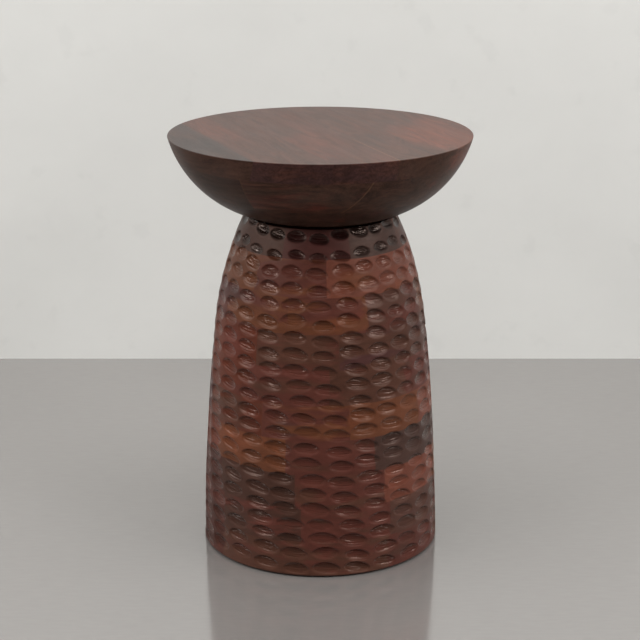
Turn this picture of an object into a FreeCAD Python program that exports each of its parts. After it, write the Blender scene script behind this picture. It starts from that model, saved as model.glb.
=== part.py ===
import FreeCAD, Part
import enum
import math
import os
import Sketcher

# Pedestal accent table of solid wood: a bowl-shaped top on a bell-shaped, hollow pedestal.
#
# The pedestal is stack-laminated.  Nine equal courses and a lower neck course are each a ring of
# mitred segments, every course turned round against the one below so that no joints line up.  The
# glued stack is turned on a lathe to one smooth outline, and a gouge then cuts hollows all over
# it, in columns that lean as they go down.  The bore of each ring stays as sawn, an octagon that
# grows narrower from course to course, and an octagonal core block closes the neck.
#
# The top is three layers of edge-glued boards, turned to a bowl with a flat deck.  Four screws go
# up through the neck core into the lowest layer, and felt pads lift the foot off the floor.
#
# Frame: millimetres, +Z up, origin on the floor in the table's axis, front towards -Y.  Bearings
# are in degrees round the axis, zero at the front and growing towards +X.

# Driving dimensions: alias, value, what it is
SIZES = (
    # Outline of the turned pedestal
    ("foot_diameter", 320.0, "outside diameter at the foot"),
    ("neck_diameter", 201.4, "outside diameter at the top of the neck"),
    ("shoulder_height", 308.6, "height above the floor where the flank runs into the shoulder"),
    ("flank_radius", 3472.0, "radius of the long, nearly straight arc above the foot"),
    ("shoulder_radius", 455.5, "radius of the arc that draws in to the neck"),
    ("foot_chamfer", 1.5, "chamfer round the edge of the foot"),
    # Courses of the pedestal
    ("segments", 8, "mitred segments in a course"),
    ("course_height", 46.3, "thickness of each of the equal courses"),
    ("neck_course_height", 36.0, "thickness of the neck course"),
    ("foot_wall", 34.0, "wall of the first course, from a flat of the bore to the foot's outside"),
    ("neck_wall", 34.7, "wall of the neck course, from a flat of the bore to the neck's outside"),
    ("turning_allowance", 10.0, "stock that the lathe takes off outside the largest diameter"),
    # Hollows that a gouge cuts all over the pedestal
    ("hollow_columns", 24, "columns of hollows round the pedestal"),
    ("hollow_turn", 13.6, "angle that a hollow takes round the axis, from end to end"),
    ("hollow_height", 18.4, "height of a hollow, from its lower edge to its upper one"),
    ("hollow_depth", 4.7, "depth that the middle of a hollow is drawn to"),
    ("column_bearing", -1.5, "bearing of the first column at the neck"),
    ("column_lean", 20.5, "angle that a column leans from the neck down to the floor"),
    ("column_lift", 12.0, "height that the most lifted column stands above its rows"),
    ("steps_round", 16, "steps round a segment at which its carved face is worked out"),
    ("steps_up", 12, "steps up a segment at which its carved face is worked out"),
    # Outline of the turned bowl
    ("top_diameter", 400.0, "diameter of the deck"),
    ("seat_diameter", 170.4, "diameter of the flat under the bowl, where it sits on the neck"),
    ("bowl_radius", 146.4, "radius of the arc from the seat up to the rim"),
    ("rim_round", 1.0, "rounding of the rim's top edge"),
    # Layers of the bowl, and the joints between their boards as shares of the top's radius
    ("deck_height", 27.0, "thickness of the deck boards"),
    ("deck_bearing", 112.5, "bearing square to the deck's joints"),
    ("deck_joint_1_share", -0.725, "first joint of the deck"),
    ("deck_joint_2_share", -0.305, "second joint of the deck"),
    ("deck_joint_3_share", 0.115, "third joint of the deck"),
    ("deck_joint_4_share", 0.405, "fourth joint of the deck"),
    ("middle_layer_height", 44.0, "thickness of the middle layer of boards"),
    ("middle_bearing", -31.6, "bearing square to the middle layer's joints"),
    ("middle_joint_1_share", -0.66, "first joint of the middle layer"),
    ("middle_joint_2_share", -0.245, "second joint of the middle layer"),
    ("middle_joint_3_share", 0.17, "third joint of the middle layer"),
    ("middle_joint_4_share", 0.585, "fourth joint of the middle layer, behind its short boards"),
    ("lower_layer_height", 34.3, "thickness of the lowest layer of boards"),
    ("lower_bearing", 112.5, "bearing square to the lowest layer's joints"),
    ("screw_board_margin", 13.0, "wood of the middle board of the lowest layer beyond the screws' circle"),
    # Screws that hold the bowl on the neck core
    ("screw_count", 4, "screws between neck core and bowl"),
    ("screw_circle", 84.0, "diameter of the circle that the screws stand on"),
    ("screw_bearing", 22.5, "bearing of the first screw"),
    ("screw_length", 50.0, "length of a screw under its head"),
    ("screw_diameter", 5.0, "diameter of a screw's shank"),
    ("tip_length", 6.0, "length of a screw's point"),
    ("tip_diameter", 1.2, "diameter of the blunt end of a screw's point"),
    ("head_diameter", 10.0, "diameter of a screw's head"),
    ("head_height", 3.6, "height of a screw's head"),
    ("drive_width", 4.6, "width of the hexagonal drive across its corners"),
    ("drive_depth", 2.2, "depth of the hexagonal drive"),
    ("drive_sides", 6, "sides of the drive"),
    ("counterbore_depth", 9.0, "depth of the counterbore under each head"),
    ("counterbore_diameter", 18.0, "diameter of the counterbore"),
    ("screw_clearance", 0.15, "gap round a shank in its hole, and past its point"),
    # Felt pads under the foot
    ("pad_count", 4, "felt pads"),
    ("pad_diameter", 24.0, "diameter of a felt pad"),
    ("pad_thickness", 2.0, "thickness of a felt pad"),
    ("pad_inset", 5.0, "gap between a pad and the outside of the foot"),
)

# Bearing of one mitre joint in each course, from the foot up to the neck
COURSE_BEARINGS = (-10.0, -9.0, -12.0, -17.0, 15.0, 5.0, 10.0, -18.0, 4.0, 20.0)
NECK_COURSE = len(COURSE_BEARINGS)
EQUAL_COURSES = NECK_COURSE - 1

# Heights of the rows of hollows, as shares of the neck's height above the floor
ROW_SHARES = (
    0.044, 0.088, 0.132, 0.176, 0.220, 0.264, 0.306, 0.350, 0.396, 0.440, 0.482,
    0.528, 0.572, 0.616, 0.660, 0.706, 0.748, 0.792, 0.840, 0.886, 0.937, 0.983,
)

# How far each column stands above its rows, as shares of the most lifted column's lift
LIFT_SHARES = (
    0.0, 0.42, 0.58, 0.75, 0.83, 0.50, 0.17, -0.25, 0.33, -0.50, 0.08, 0.58,
    -0.17, 0.42, 0.75, -0.33, 0.25, 0.67, -0.08, 0.83, 1.0, 0.50, 0.17, 0.33,
)

# How the columns' lean grows from the neck down: this power of the way down
LEAN_POWER = 1.5

# Heights above the floor that pieces share, as expressions on the sheet
FOOT = "Sizes.pad_thickness"
NECK_BOTTOM = f"({FOOT} + {EQUAL_COURSES} * Sizes.course_height)"
NECK_TOP = f"({NECK_BOTTOM} + Sizes.neck_course_height)"
MIDDLE_BOTTOM = f"({NECK_TOP} + Sizes.lower_layer_height)"
DECK_BOTTOM = f"({MIDDLE_BOTTOM} + Sizes.middle_layer_height)"
DECK_TOP = f"({DECK_BOTTOM} + Sizes.deck_height)"
SCREW_SEAT = f"({NECK_BOTTOM} + Sizes.counterbore_depth)"

# Tangent of half the angle that one segment takes of its ring
HALF_SEGMENT = "tan(180 deg / Sizes.segments)"

# How closely two computed heights agree
TOLERANCE = 1e-6

# Degree of the smooth curves that a carved face is made of
SPLINE_DEGREE = 3

UP = FreeCAD.Vector(0, 0, 1)


class End(enum.IntEnum):
    """The sketcher's numbers for the two ends of a line or an arc."""

    START = 1
    FINISH = 2


class Axis(enum.IntEnum):
    """The sketcher's numbers for a sketch's own axes, the first of which starts at the origin."""

    HORIZONTAL = -1
    VERTICAL = -2


doc = FreeCAD.newDocument("pedestal_table")
sheet = doc.addObject("Spreadsheet::Sheet", "Sizes")
nodes = {}


def fill_sheet():
    """Write each dimension in a row of the sheet: its name, its value under that alias, its meaning."""
    bearings = tuple(
        (f"course_{course:02d}_bearing", bearing, f"bearing of a mitre joint of course {course}")
        for course, bearing in enumerate(COURSE_BEARINGS, start=1)
    )
    for row, (alias, number, meaning) in enumerate(SIZES + bearings, start=1):
        sheet.set(f"A{row}", alias)
        sheet.set(f"B{row}", str(number))
        sheet.setAlias(f"B{row}", alias)
        sheet.set(f"C{row}", meaning)
    doc.recompute()


def value(expression):
    """What an expression on the sheet comes to."""
    return float(sheet.evalExpression(expression))


def make(kind, name, bindings):
    """A feature of the document with its properties bound to the sheet."""
    feature = doc.addObject(kind, name)
    for path, expression in bindings.items():
        feature.setExpression(path, expression)
    return feature


def place(feature, bearing, height, distance="0"):
    """Turn a feature to a bearing, lift it to a height and move it out along that bearing.

    The feature's own -Y axis then points along the bearing.
    """
    feature.Placement = FreeCAD.Placement(FreeCAD.Vector(), FreeCAD.Rotation(UP, 1))
    feature.setExpression("Placement.Rotation.Angle", f"({bearing}) * 1 deg")
    feature.setExpression("Placement.Base.x", f"({distance}) * sin(({bearing}) * 1 deg)")
    feature.setExpression("Placement.Base.y", f"-({distance}) * cos(({bearing}) * 1 deg)")
    feature.setExpression("Placement.Base.z", height)
    return feature


def group(name, pieces):
    """Several separate solids in one object."""
    compound = doc.addObject("Part::Compound", name)
    compound.Links = pieces
    return compound


def boolean(kind, name, base, tool):
    """The cut or common part of two features."""
    result = doc.addObject(kind, name)
    result.Base = base
    result.Tool = tool
    return result


def arc_between(start, end, radius):
    """The shorter arc of a radius from start up to end, bulging away from the axis."""
    chord = end.sub(start)
    half = chord.Length / 2
    bulge = radius - (radius**2 - half**2) ** 0.5
    outward = FreeCAD.Vector(chord.y, -chord.x, 0).normalize()
    middle = (start + end) / 2 + outward * bulge
    return Part.Arc(start, middle, end)


def constrain(sketch, name, expression, *arguments):
    """A dimension of a sketch, named and bound to the sheet."""
    index = sketch.addConstraint(Sketcher.Constraint(*arguments))
    sketch.renameConstraint(index, name)
    sketch.setExpression(f"Constraints.{name}", expression)


def constrain_from_origin(sketch, name, expression, kind, geometry, point, distance):
    """The distance of a point from a sketch's origin along one axis, bound to the sheet."""
    constrain(sketch, name, expression, kind, Axis.HORIZONTAL, End.START, geometry, point, distance)


def draw_outline(sketch, low, high, side):
    """Draw half of a turned outline: base, side arcs, top and axis, closed into one wire."""
    low_centre = FreeCAD.Vector(0, low.y, 0)
    high_centre = FreeCAD.Vector(0, high.y, 0)
    base = sketch.addGeometry(Part.LineSegment(low_centre, low))
    arcs = [sketch.addGeometry(arc) for arc in side]
    top = sketch.addGeometry(Part.LineSegment(high, high_centre))
    axis = sketch.addGeometry(Part.LineSegment(high_centre, low_centre))
    sketch.addConstraint([
        Sketcher.Constraint("Coincident", base, End.FINISH, arcs[0], End.START),
        Sketcher.Constraint("Coincident", arcs[-1], End.FINISH, top, End.START),
        Sketcher.Constraint("Coincident", top, End.FINISH, axis, End.START),
        Sketcher.Constraint("Coincident", axis, End.FINISH, base, End.START),
        Sketcher.Constraint("Horizontal", base),
        Sketcher.Constraint("Horizontal", top),
        Sketcher.Constraint("PointOnObject", axis, End.START, Axis.VERTICAL),
        Sketcher.Constraint("PointOnObject", axis, End.FINISH, Axis.VERTICAL),
    ])
    return arcs


def place_corner(sketch, name, geometry, point, corner, radius, height):
    """Dimension an outer corner of an outline from the axis and from the floor."""
    constrain_from_origin(sketch, f"{name}_radius", radius, "DistanceX", geometry, point, corner.x)
    constrain_from_origin(sketch, f"{name}_height", height, "DistanceY", geometry, point, corner.y)


def draw_pedestal(sketch):
    """Foot, flank arc, shoulder arc, neck and axis of the pedestal.

    The two arcs run smoothly into each other at the shoulder's height.  Their radii and the
    neck's inset from the foot settle how far the outline leans there.  The lean worked out here
    is the one for small angles, near enough for the sketch to solve from.
    """
    foot = FreeCAD.Vector(value("Sizes.foot_diameter / 2"), value(FOOT), 0)
    neck = FreeCAD.Vector(value("Sizes.neck_diameter / 2"), value(NECK_TOP), 0)
    joint_height = value("Sizes.shoulder_height")
    flank_radius = value("Sizes.flank_radius")
    shoulder_radius = value("Sizes.shoulder_radius")
    flank_sag = (joint_height - foot.y) ** 2 / flank_radius / 2
    shoulder_sag = (neck.y - joint_height) ** 2 / shoulder_radius / 2
    lean = (foot.x - neck.x + flank_sag - shoulder_sag) / (neck.y - foot.y)
    joint = FreeCAD.Vector(foot.x - (joint_height - foot.y) * lean + flank_sag, joint_height, 0)

    flank, shoulder = draw_outline(sketch, foot, neck, (
        arc_between(foot, joint, flank_radius),
        arc_between(joint, neck, shoulder_radius),
    ))
    sketch.addConstraint(Sketcher.Constraint("Tangent", flank, End.FINISH, shoulder, End.START))
    place_corner(sketch, "foot", flank, End.START, foot, "Sizes.foot_diameter / 2", FOOT)
    place_corner(sketch, "neck", shoulder, End.FINISH, neck, "Sizes.neck_diameter / 2", NECK_TOP)
    constrain_from_origin(sketch, "joint_height", "Sizes.shoulder_height", "DistanceY",
                          flank, End.FINISH, joint.y)
    constrain(sketch, "flank", "Sizes.flank_radius", "Radius", flank, flank_radius)
    constrain(sketch, "shoulder", "Sizes.shoulder_radius", "Radius", shoulder, shoulder_radius)


def draw_bowl(sketch):
    """Seat, side arc, deck and axis of the bowl."""
    seat = FreeCAD.Vector(value("Sizes.seat_diameter / 2"), value(NECK_TOP), 0)
    rim = FreeCAD.Vector(value("Sizes.top_diameter / 2"), value(DECK_TOP), 0)
    radius = value("Sizes.bowl_radius")
    (side,) = draw_outline(sketch, seat, rim, (arc_between(seat, rim, radius),))
    place_corner(sketch, "seat", side, End.START, seat, "Sizes.seat_diameter / 2", NECK_TOP)
    place_corner(sketch, "rim", side, End.FINISH, rim, "Sizes.top_diameter / 2", DECK_TOP)
    constrain(sketch, "side", "Sizes.bowl_radius", "Radius", side, radius)


def turned_form(name, draw_profile, rim_height, rounding):
    """A body of revolution round the axis, its outer edge at one height rounded."""
    body = doc.addObject("PartDesign::Body", name)
    sketch = body.newObject("Sketcher::SketchObject", f"{name}_outline")
    plane = next(plane for plane in body.Origin.OriginFeatures if plane.Role == "XZ_Plane")
    sketch.AttachmentSupport = [(plane, "")]
    sketch.MapMode = "FlatFace"
    draw_profile(sketch)
    turning = body.newObject("PartDesign::Revolution", f"{name}_turning")
    turning.Profile = sketch
    turning.ReferenceAxis = (sketch, ["V_Axis"])
    doc.recompute()

    circles = [
        (edge.Curve.Radius, f"Edge{number}")
        for number, edge in enumerate(turning.Shape.Edges, start=1)
        if isinstance(edge.Curve, Part.Circle) and abs(edge.Curve.Center.z - value(rim_height)) < TOLERANCE
    ]
    edge = body.newObject("PartDesign::Fillet", f"{name}_edge")
    edge.Base = (turning, [max(circles)[1]])
    edge.setExpression("Radius", rounding)
    body.Tip = edge
    doc.recompute()
    return body


def blank(name, near, far, near_ends, far_ends, height, bearing, bottom):
    """A sawn blank with four upright sides, before it is turned.

    It lies between the distances near and far from the axis, measured along the bearing.  Its
    near and far sides run between near_ends and far_ends, measured square to the bearing.
    """
    piece = make("Part::Wedge", name, {
        "Ymin": f"-({far})",
        "Ymax": f"-({near})",
        "Xmin": far_ends[0],
        "Xmax": far_ends[1],
        "X2min": near_ends[0],
        "X2max": near_ends[1],
        "Zmax": height,
        "Z2max": height,
    })
    piece.Zmin = 0
    piece.Z2min = 0
    return place(piece, bearing, bottom)


def bore(course):
    """Half the width across the flats of a course's bore, as an expression.

    The bore narrows by equal steps from the first course to the neck course.
    """
    foot_bore = "(Sizes.foot_diameter / 2 - Sizes.foot_wall)"
    neck_bore = "(Sizes.neck_diameter / 2 - Sizes.neck_wall)"
    return f"({foot_bore} + ({neck_bore} - {foot_bore}) * {course - 1} / {EQUAL_COURSES})"


class Carving:
    """The turned outline of the pedestal, and the hollows that a gouge cuts into it."""

    def __init__(self, outline):
        """Read the outline's two arcs and the sizes of the hollows."""
        self.flank, self.shoulder = (
            side for side in outline.Geometry if isinstance(side, Part.ArcOfCircle)
        )
        self.shoulder_height = value("Sizes.shoulder_height")
        self.columns = int(value("Sizes.hollow_columns"))
        self.half_turn = value("Sizes.hollow_turn") / 2
        self.half_height = value("Sizes.hollow_height") / 2
        self.depth = value("Sizes.hollow_depth")
        self.lift = value("Sizes.column_lift")
        bearing = value("Sizes.column_bearing")
        lean = value("Sizes.column_lean")
        self.rows = [
            (share * value(NECK_TOP), bearing + lean * (1 - share) ** LEAN_POWER) for share in ROW_SHARES
        ]

    def turned_radius(self, height):
        """Radius of the turned pedestal, on the arc of its outline that passes at a height."""
        side = self.flank if height < self.shoulder_height else self.shoulder
        return side.Center.x + (side.Radius**2 - (height - side.Center.y) ** 2) ** 0.5

    def depth_at(self, bearing, height):
        """Depth of the carving at a point of the pedestal, or zero between the hollows.

        A hollow is a shallow dish.  Its depth falls off from the middle by the squares of the
        distances round and up, each taken as a share of the hollow's half size.
        """
        pitch = 360 / self.columns
        deepest = 0
        for row_height, lean in self.rows:
            nearest = round((bearing - lean) / pitch)
            for column in (nearest - 1, nearest, nearest + 1):
                middle = row_height + LIFT_SHARES[column % self.columns % len(LIFT_SHARES)] * self.lift
                up = (height - middle) / self.half_height
                round_by = (bearing - lean - column * pitch) / self.half_turn
                deepest = max(deepest, self.depth * (1 - up**2 - round_by**2))
        return deepest

    def point(self, bearing, height):
        """The point of the carved face at a bearing and a height."""
        radius = self.turned_radius(height) - self.depth_at(bearing, height)
        return point_at(bearing, radius, height)


def point_at(bearing, radius, height):
    """The point at a bearing, a distance from the axis and a height."""
    angle = math.radians(bearing)
    return FreeCAD.Vector(radius * math.sin(angle), -radius * math.cos(angle), height)


def evenly(low, high, steps):
    """Evenly spaced numbers from low to high, both included."""
    return [low + (high - low) * step / steps for step in range(steps + 1)]


def drawn_by(grid):
    """A smooth surface that a grid of points draws, each of its edges drawn by the points along it."""
    counts = (len(grid), len(grid[0]))
    knots = [[float(knot) for knot in range(count - SPLINE_DEGREE + 1)] for count in counts]
    end = SPLINE_DEGREE + 1
    repeats = [[end, *[1] * (len(places) - 2), end] for places in knots]
    surface = Part.BSplineSurface()
    surface.buildFromPolesMultsKnots(grid, *repeats, *knots, False, False, SPLINE_DEGREE, SPLINE_DEGREE)
    return surface


def flat_face(way, *curves):
    """The flat face inside straight edges from each point of a way to the next, and curved edges."""
    lines = [
        Part.LineSegment(start, end).toShape()
        for start, end in zip(way, way[1:])
        if start.distanceToPoint(end) > TOLERANCE
    ]
    return Part.Face(Part.Wire(Part.__sortEdges__([*curves, *lines])))


def add_segment(carving, name, bearing, inside, bottom, top, chamfer):
    """One mitred segment of a course, carved outside and flat inside.

    The carved face is a smooth surface drawn by points of the carving.  The two mitres, the flat of
    the bore and the two level faces close it.  Over a chamfer, the carved face starts that much
    higher, and a narrow sloping face joins it to the bottom.
    """
    half = 180 / value("Sizes.segments")
    left, right = bearing - half, bearing + half
    face_bottom = bottom + chamfer
    heights = evenly(face_bottom, top, int(value("Sizes.steps_up")))
    turns = evenly(left, right, int(value("Sizes.steps_round")))
    surface = drawn_by([[carving.point(turn, height) for height in heights] for turn in turns])
    left_turn, right_turn, lowest, highest = surface.bounds()
    faces = [surface.toShape()]

    foot = {turn: carving.point(turn, face_bottom) for turn in (left, right)}
    foot_edge = surface.vIso(lowest).toShape()
    if chamfer:
        radius = carving.turned_radius(face_bottom) - chamfer
        foot = {turn: point_at(turn, radius, bottom) for turn in (left, right)}
        arc = Part.Arc(foot[left], point_at(bearing, radius, bottom), foot[right]).toShape()
        faces.append(Part.makeRuledSurface(arc, foot_edge))
        foot_edge = arc

    rim = {turn: carving.point(turn, top) for turn in (left, right)}
    corner = inside / math.cos(math.radians(half))
    low = {turn: point_at(turn, corner, bottom) for turn in (left, right)}
    high = {turn: point_at(turn, corner, top) for turn in (left, right)}
    for turn, side in ((left, surface.uIso(left_turn)), (right, surface.uIso(right_turn))):
        way = [rim[turn], high[turn], low[turn], foot[turn], carving.point(turn, face_bottom)]
        faces.append(flat_face(way, side.toShape()))
    faces.append(flat_face([foot[left], low[left], low[right], foot[right]], foot_edge))
    faces.append(flat_face([rim[left], high[left], high[right], rim[right]], surface.vIso(highest).toShape()))
    faces.append(flat_face([low[left], low[right], high[right], high[left], low[left]]))

    shell = Part.Shell(faces)
    shell.sewShape()
    solid = Part.Solid(shell)
    if solid.Volume < 0:
        solid.reverse()
    feature = doc.addObject("Part::Feature", name)
    feature.Shape = solid
    return feature


def add_course(carving, course):
    """One ring of mitred segments, turned and carved on the outside."""
    bottom = value(f"{FOOT} + {course - 1} * Sizes.course_height")
    height = "Sizes.neck_course_height" if course == NECK_COURSE else "Sizes.course_height"
    chamfer = value("Sizes.foot_chamfer") if course == 1 else 0
    segments = []
    for number in range(int(value("Sizes.segments"))):
        bearing = value(f"Sizes.course_{course:02d}_bearing + 360 * ({number} + 1 / 2) / Sizes.segments")
        segments.append(add_segment(carving, f"course_{course:02d}_segment_{number + 1}", bearing,
                                    value(bore(course)), bottom, bottom + value(height), chamfer))
    node = f"pedestal_course_{course:02d}"
    nodes[node] = group(node, segments)


def add_board(bowl, name, layer, near, far, ends, bottom, height):
    """One board of a layer, as far as it lies inside the turned bowl."""
    piece = blank(f"{name}_blank", near, far, ends, ends, height, f"Sizes.{layer}_bearing", bottom)
    nodes[name] = boolean("Part::Common", name, bowl, piece)


def joints_of(layer, joint_count):
    """Distances of a layer's joints from the axis, from their shares of the top's radius."""
    return [
        f"(Sizes.{layer}_joint_{number}_share * Sizes.top_diameter / 2)"
        for number in range(1, joint_count + 1)
    ]


def add_layer(bowl, layer, joints, bottom, height, butted_board=None):
    """The boards of a layer of the bowl, each from one joint to the next.

    A board is as long as the bowl is wide.  Only the butted one is two short boards, which meet
    end to end in the middle.
    """
    edge = "(Sizes.top_diameter / 2 + Sizes.turning_allowance)"
    lines = [f"-{edge}", *joints, edge]
    for number, (near, far) in enumerate(zip(lines, lines[1:]), start=1):
        name = f"{layer}_board_{number}"
        if number == butted_board:
            add_board(bowl, f"{name}_left", layer, near, far, (f"-{edge}", "0"), bottom, height)
            add_board(bowl, f"{name}_right", layer, near, far, ("0", edge), bottom, height)
        else:
            add_board(bowl, name, layer, near, far, (f"-{edge}", edge), bottom, height)


def screw_bearing(number):
    """Bearing of one screw, as an expression."""
    return f"Sizes.screw_bearing + 360 * {number} / Sizes.screw_count"


def upright_cylinder(name, diameter, height, bearing, bottom, distance):
    """An upright cylinder at a bearing and a distance from the axis."""
    cylinder = make("Part::Cylinder", name, {"Radius": f"{diameter} / 2", "Height": height})
    return place(cylinder, bearing, bottom, distance)


def add_screws():
    """The screws, as one group: head, shank and point in one, with a hexagonal drive in the head."""
    circle = "Sizes.screw_circle / 2"
    shank_length = "(Sizes.screw_length - Sizes.tip_length)"
    head_bottom = f"({SCREW_SEAT} - Sizes.head_height)"
    screws = []
    for number in range(int(value("Sizes.screw_count"))):
        name = f"screw_{number + 1}"
        bearing = screw_bearing(number)
        head = upright_cylinder(f"{name}_head", "Sizes.head_diameter", "Sizes.head_height",
                                bearing, head_bottom, circle)
        shank = upright_cylinder(f"{name}_shank", "Sizes.screw_diameter", shank_length,
                                 bearing, SCREW_SEAT, circle)
        tip = make("Part::Cone", f"{name}_tip", {
            "Radius1": "Sizes.screw_diameter / 2",
            "Radius2": "Sizes.tip_diameter / 2",
            "Height": "Sizes.tip_length",
        })
        place(tip, bearing, f"{SCREW_SEAT} + {shank_length}", circle)
        whole = doc.addObject("Part::MultiFuse", f"{name}_solid")
        whole.Shapes = [head, shank, tip]
        drive = make("Part::Prism", f"{name}_drive", {
            "Polygon": "Sizes.drive_sides",
            "Circumradius": "Sizes.drive_width / 2",
            "Height": "Sizes.drive_depth",
        })
        place(drive, bearing, head_bottom, circle)
        screws.append(boolean("Part::Cut", name, whole, drive))
    nodes["top_fixing_screws"] = group("top_fixing_screws", screws)


def screw_holes(name, diameter, height, bottom):
    """Upright holes for the screws, one cylinder on each screw's axis."""
    return group(name, [
        upright_cylinder(f"{name}_{number + 1}", diameter, height, screw_bearing(number), bottom,
                         "Sizes.screw_circle / 2")
        for number in range(int(value("Sizes.screw_count")))
    ])


def add_neck_core(shank_holes):
    """The octagonal block that is glued into the neck course, counterbored from below."""
    corner_radius = f"{bore(NECK_COURSE)} / cos(180 deg / Sizes.segments)"
    block = make("Part::Prism", "neck_core_block", {
        "Polygon": "Sizes.segments",
        "Circumradius": corner_radius,
        "Height": "Sizes.neck_course_height",
    })
    place(block, f"Sizes.course_{NECK_COURSE:02d}_bearing - 90", NECK_BOTTOM)
    counterbores = screw_holes("counterbores", "Sizes.counterbore_diameter", "Sizes.counterbore_depth",
                               NECK_BOTTOM)
    counterbored = boolean("Part::Cut", "neck_core_counterbored", block, counterbores)
    nodes["neck_core"] = boolean("Part::Cut", "neck_core", counterbored, shank_holes)


def drill_board(name, holes):
    """Drill a board of the bowl that the screws bite into."""
    board = nodes[name]
    board.Label = f"{name}_undrilled"
    nodes[name] = boolean("Part::Cut", f"{name}_drilled", board, holes)


def add_pads():
    """Felt pads under the middles of evenly spaced segments of the first course."""
    distance = "Sizes.foot_diameter / 2 - Sizes.pad_inset - Sizes.pad_diameter / 2"
    first = "Sizes.course_01_bearing + 180 / Sizes.segments"
    pads = [
        upright_cylinder(f"pad_{number + 1}", "Sizes.pad_diameter", "Sizes.pad_thickness",
                         f"{first} + 360 * {number} / Sizes.pad_count", "0", distance)
        for number in range(int(value("Sizes.pad_count")))
    ]
    nodes["felt_pads"] = group("felt_pads", pads)


def check_document():
    """Stop if any feature failed or a sub-part isn't made of whole, valid solids."""
    failed = [item.Name for item in doc.Objects if {"Invalid", "Error"} & set(item.State)]
    if failed:
        raise RuntimeError(f"failed features: {failed}")
    for name, node in nodes.items():
        shape = node.Shape
        if shape.isNull() or not shape.isValid() or not shape.Solids:
            raise RuntimeError(f"{name} has no valid solid")
        print(f"{name}: {len(shape.Solids)} solids, {shape.Volume:.0f} mm3")


fill_sheet()

pedestal_outline = doc.addObject("Sketcher::SketchObject", "pedestal_outline")
draw_pedestal(pedestal_outline)
doc.recompute()
carving = Carving(pedestal_outline)
for course in range(1, NECK_COURSE + 1):
    add_course(carving, course)

bowl = turned_form("bowl_form", draw_bowl, DECK_TOP, "Sizes.rim_round")
add_layer(bowl, "deck", joints_of("deck", 4), DECK_BOTTOM, "Sizes.deck_height")
add_layer(bowl, "middle", joints_of("middle", 4), MIDDLE_BOTTOM, "Sizes.middle_layer_height",
          butted_board=5)
screw_board_edge = "(Sizes.screw_circle / 2 + Sizes.screw_board_margin)"
add_layer(bowl, "lower", [f"-{screw_board_edge}", screw_board_edge], NECK_TOP,
          "Sizes.lower_layer_height")

shank_holes = screw_holes("shank_holes", "(Sizes.screw_diameter + 2 * Sizes.screw_clearance)",
                          "Sizes.screw_length + Sizes.screw_clearance", SCREW_SEAT)
add_neck_core(shank_holes)
drill_board("lower_board_2", shank_holes)
add_screws()
add_pads()

doc.recompute()
for name, node in nodes.items():
    node.Label = name
check_document()

os.makedirs("parts", exist_ok=True)
for name, node in nodes.items():
    node.Shape.exportStep(f"parts/{name}.step")
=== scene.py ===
"""Looks of a pedestal accent table: a gouge-carved wooden pedestal under a dished top of glued boards.

A bearing runs round the table from its front (-Y) towards its right (+X), in degrees, and lengths are in
millimetres until a mesh is made, which is in metres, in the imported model's own frame.
"""

import logging
import math
from dataclasses import dataclass, field
from enum import Enum
from typing import Any

import bpy
import numpy as np
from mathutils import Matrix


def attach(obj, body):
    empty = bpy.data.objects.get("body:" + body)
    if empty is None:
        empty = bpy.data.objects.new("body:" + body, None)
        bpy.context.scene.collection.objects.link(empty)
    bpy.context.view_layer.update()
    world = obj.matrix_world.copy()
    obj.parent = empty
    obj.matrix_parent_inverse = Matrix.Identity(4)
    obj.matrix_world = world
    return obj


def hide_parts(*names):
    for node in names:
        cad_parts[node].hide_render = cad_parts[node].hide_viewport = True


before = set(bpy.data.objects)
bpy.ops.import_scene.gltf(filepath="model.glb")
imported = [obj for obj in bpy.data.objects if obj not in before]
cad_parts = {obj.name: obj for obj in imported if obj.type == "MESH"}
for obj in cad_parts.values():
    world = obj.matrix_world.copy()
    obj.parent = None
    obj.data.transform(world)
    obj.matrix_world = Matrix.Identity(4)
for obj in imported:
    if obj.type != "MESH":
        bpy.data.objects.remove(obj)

LOG = logging.getLogger("accent_table")
MM = 0.001
SEED = 20
LIE_SEED = 140
ROUNDING = 1e-9
PHOTO_SIDE = 640
# A joint this far from the axis is past the rim, so its board ends at the rim.
RIM = 400.0

Colour = tuple[float, float, float, float]
Spread = tuple[float, float, float]


def linear(red: float, green: float, blue: float) -> Colour:
    """Turns a colour of 0 to 255 as seen on a screen into the linear one that shaders use.

    The curve is the usual one of screens: a straight line at first, then a power of 2.4.

    Args:
        red: Screen red, 0 to 255.
        green: Screen green, 0 to 255.
        blue: Screen blue, 0 to 255.

    Returns:
        The linear red, green and blue, and an alpha of 1.
    """
    parts = [c / 255 for c in (red, green, blue)]
    return tuple(p / 12.92 if p < 0.04045 else ((p + 0.055) / 1.055) ** 2.4 for p in parts) + (1.0,)


class Stain(Enum):
    """Colours that the stained boards have, as seen on a screen."""

    BROWN = (80, 49, 38)
    ORANGE_BROWN = (100, 57, 37)
    ORANGE = (110, 60, 38)
    BRICK = (98, 48, 38)
    RED_BROWN = (88, 46, 38)
    DULL_BROWN = (80, 51, 42)
    DARK_RED = (72, 38, 35)
    MAHOGANY = (66, 33, 26)
    RUST = (92, 43, 29)
    PURPLE_BROWN = (72, 42, 40)
    PLUM = (72, 45, 42)
    DARK_BROWN = (68, 43, 35)
    GREY_BROWN = (68, 47, 41)
    SLATE = (62, 47, 44)
    ROSE_BROWN = (112, 62, 48)
    SLATE_DECK = (54, 44, 41)
    DECK_BROWN = (68, 45, 37)
    DECK_ROSE = (78, 47, 38)
    DECK_RED = (90, 51, 39)
    PURPLE_DECK = (62, 39, 37)
    UMBER = (50, 33, 26)
    BOWL_BROWN = (62, 40, 31)
    BOWL_RED = (78, 38, 30)
    RAW_WOOD = (176, 142, 108)

    @property
    def colour(self) -> Colour:
        """The stain as a linear colour."""
        return linear(*self.value)


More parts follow.
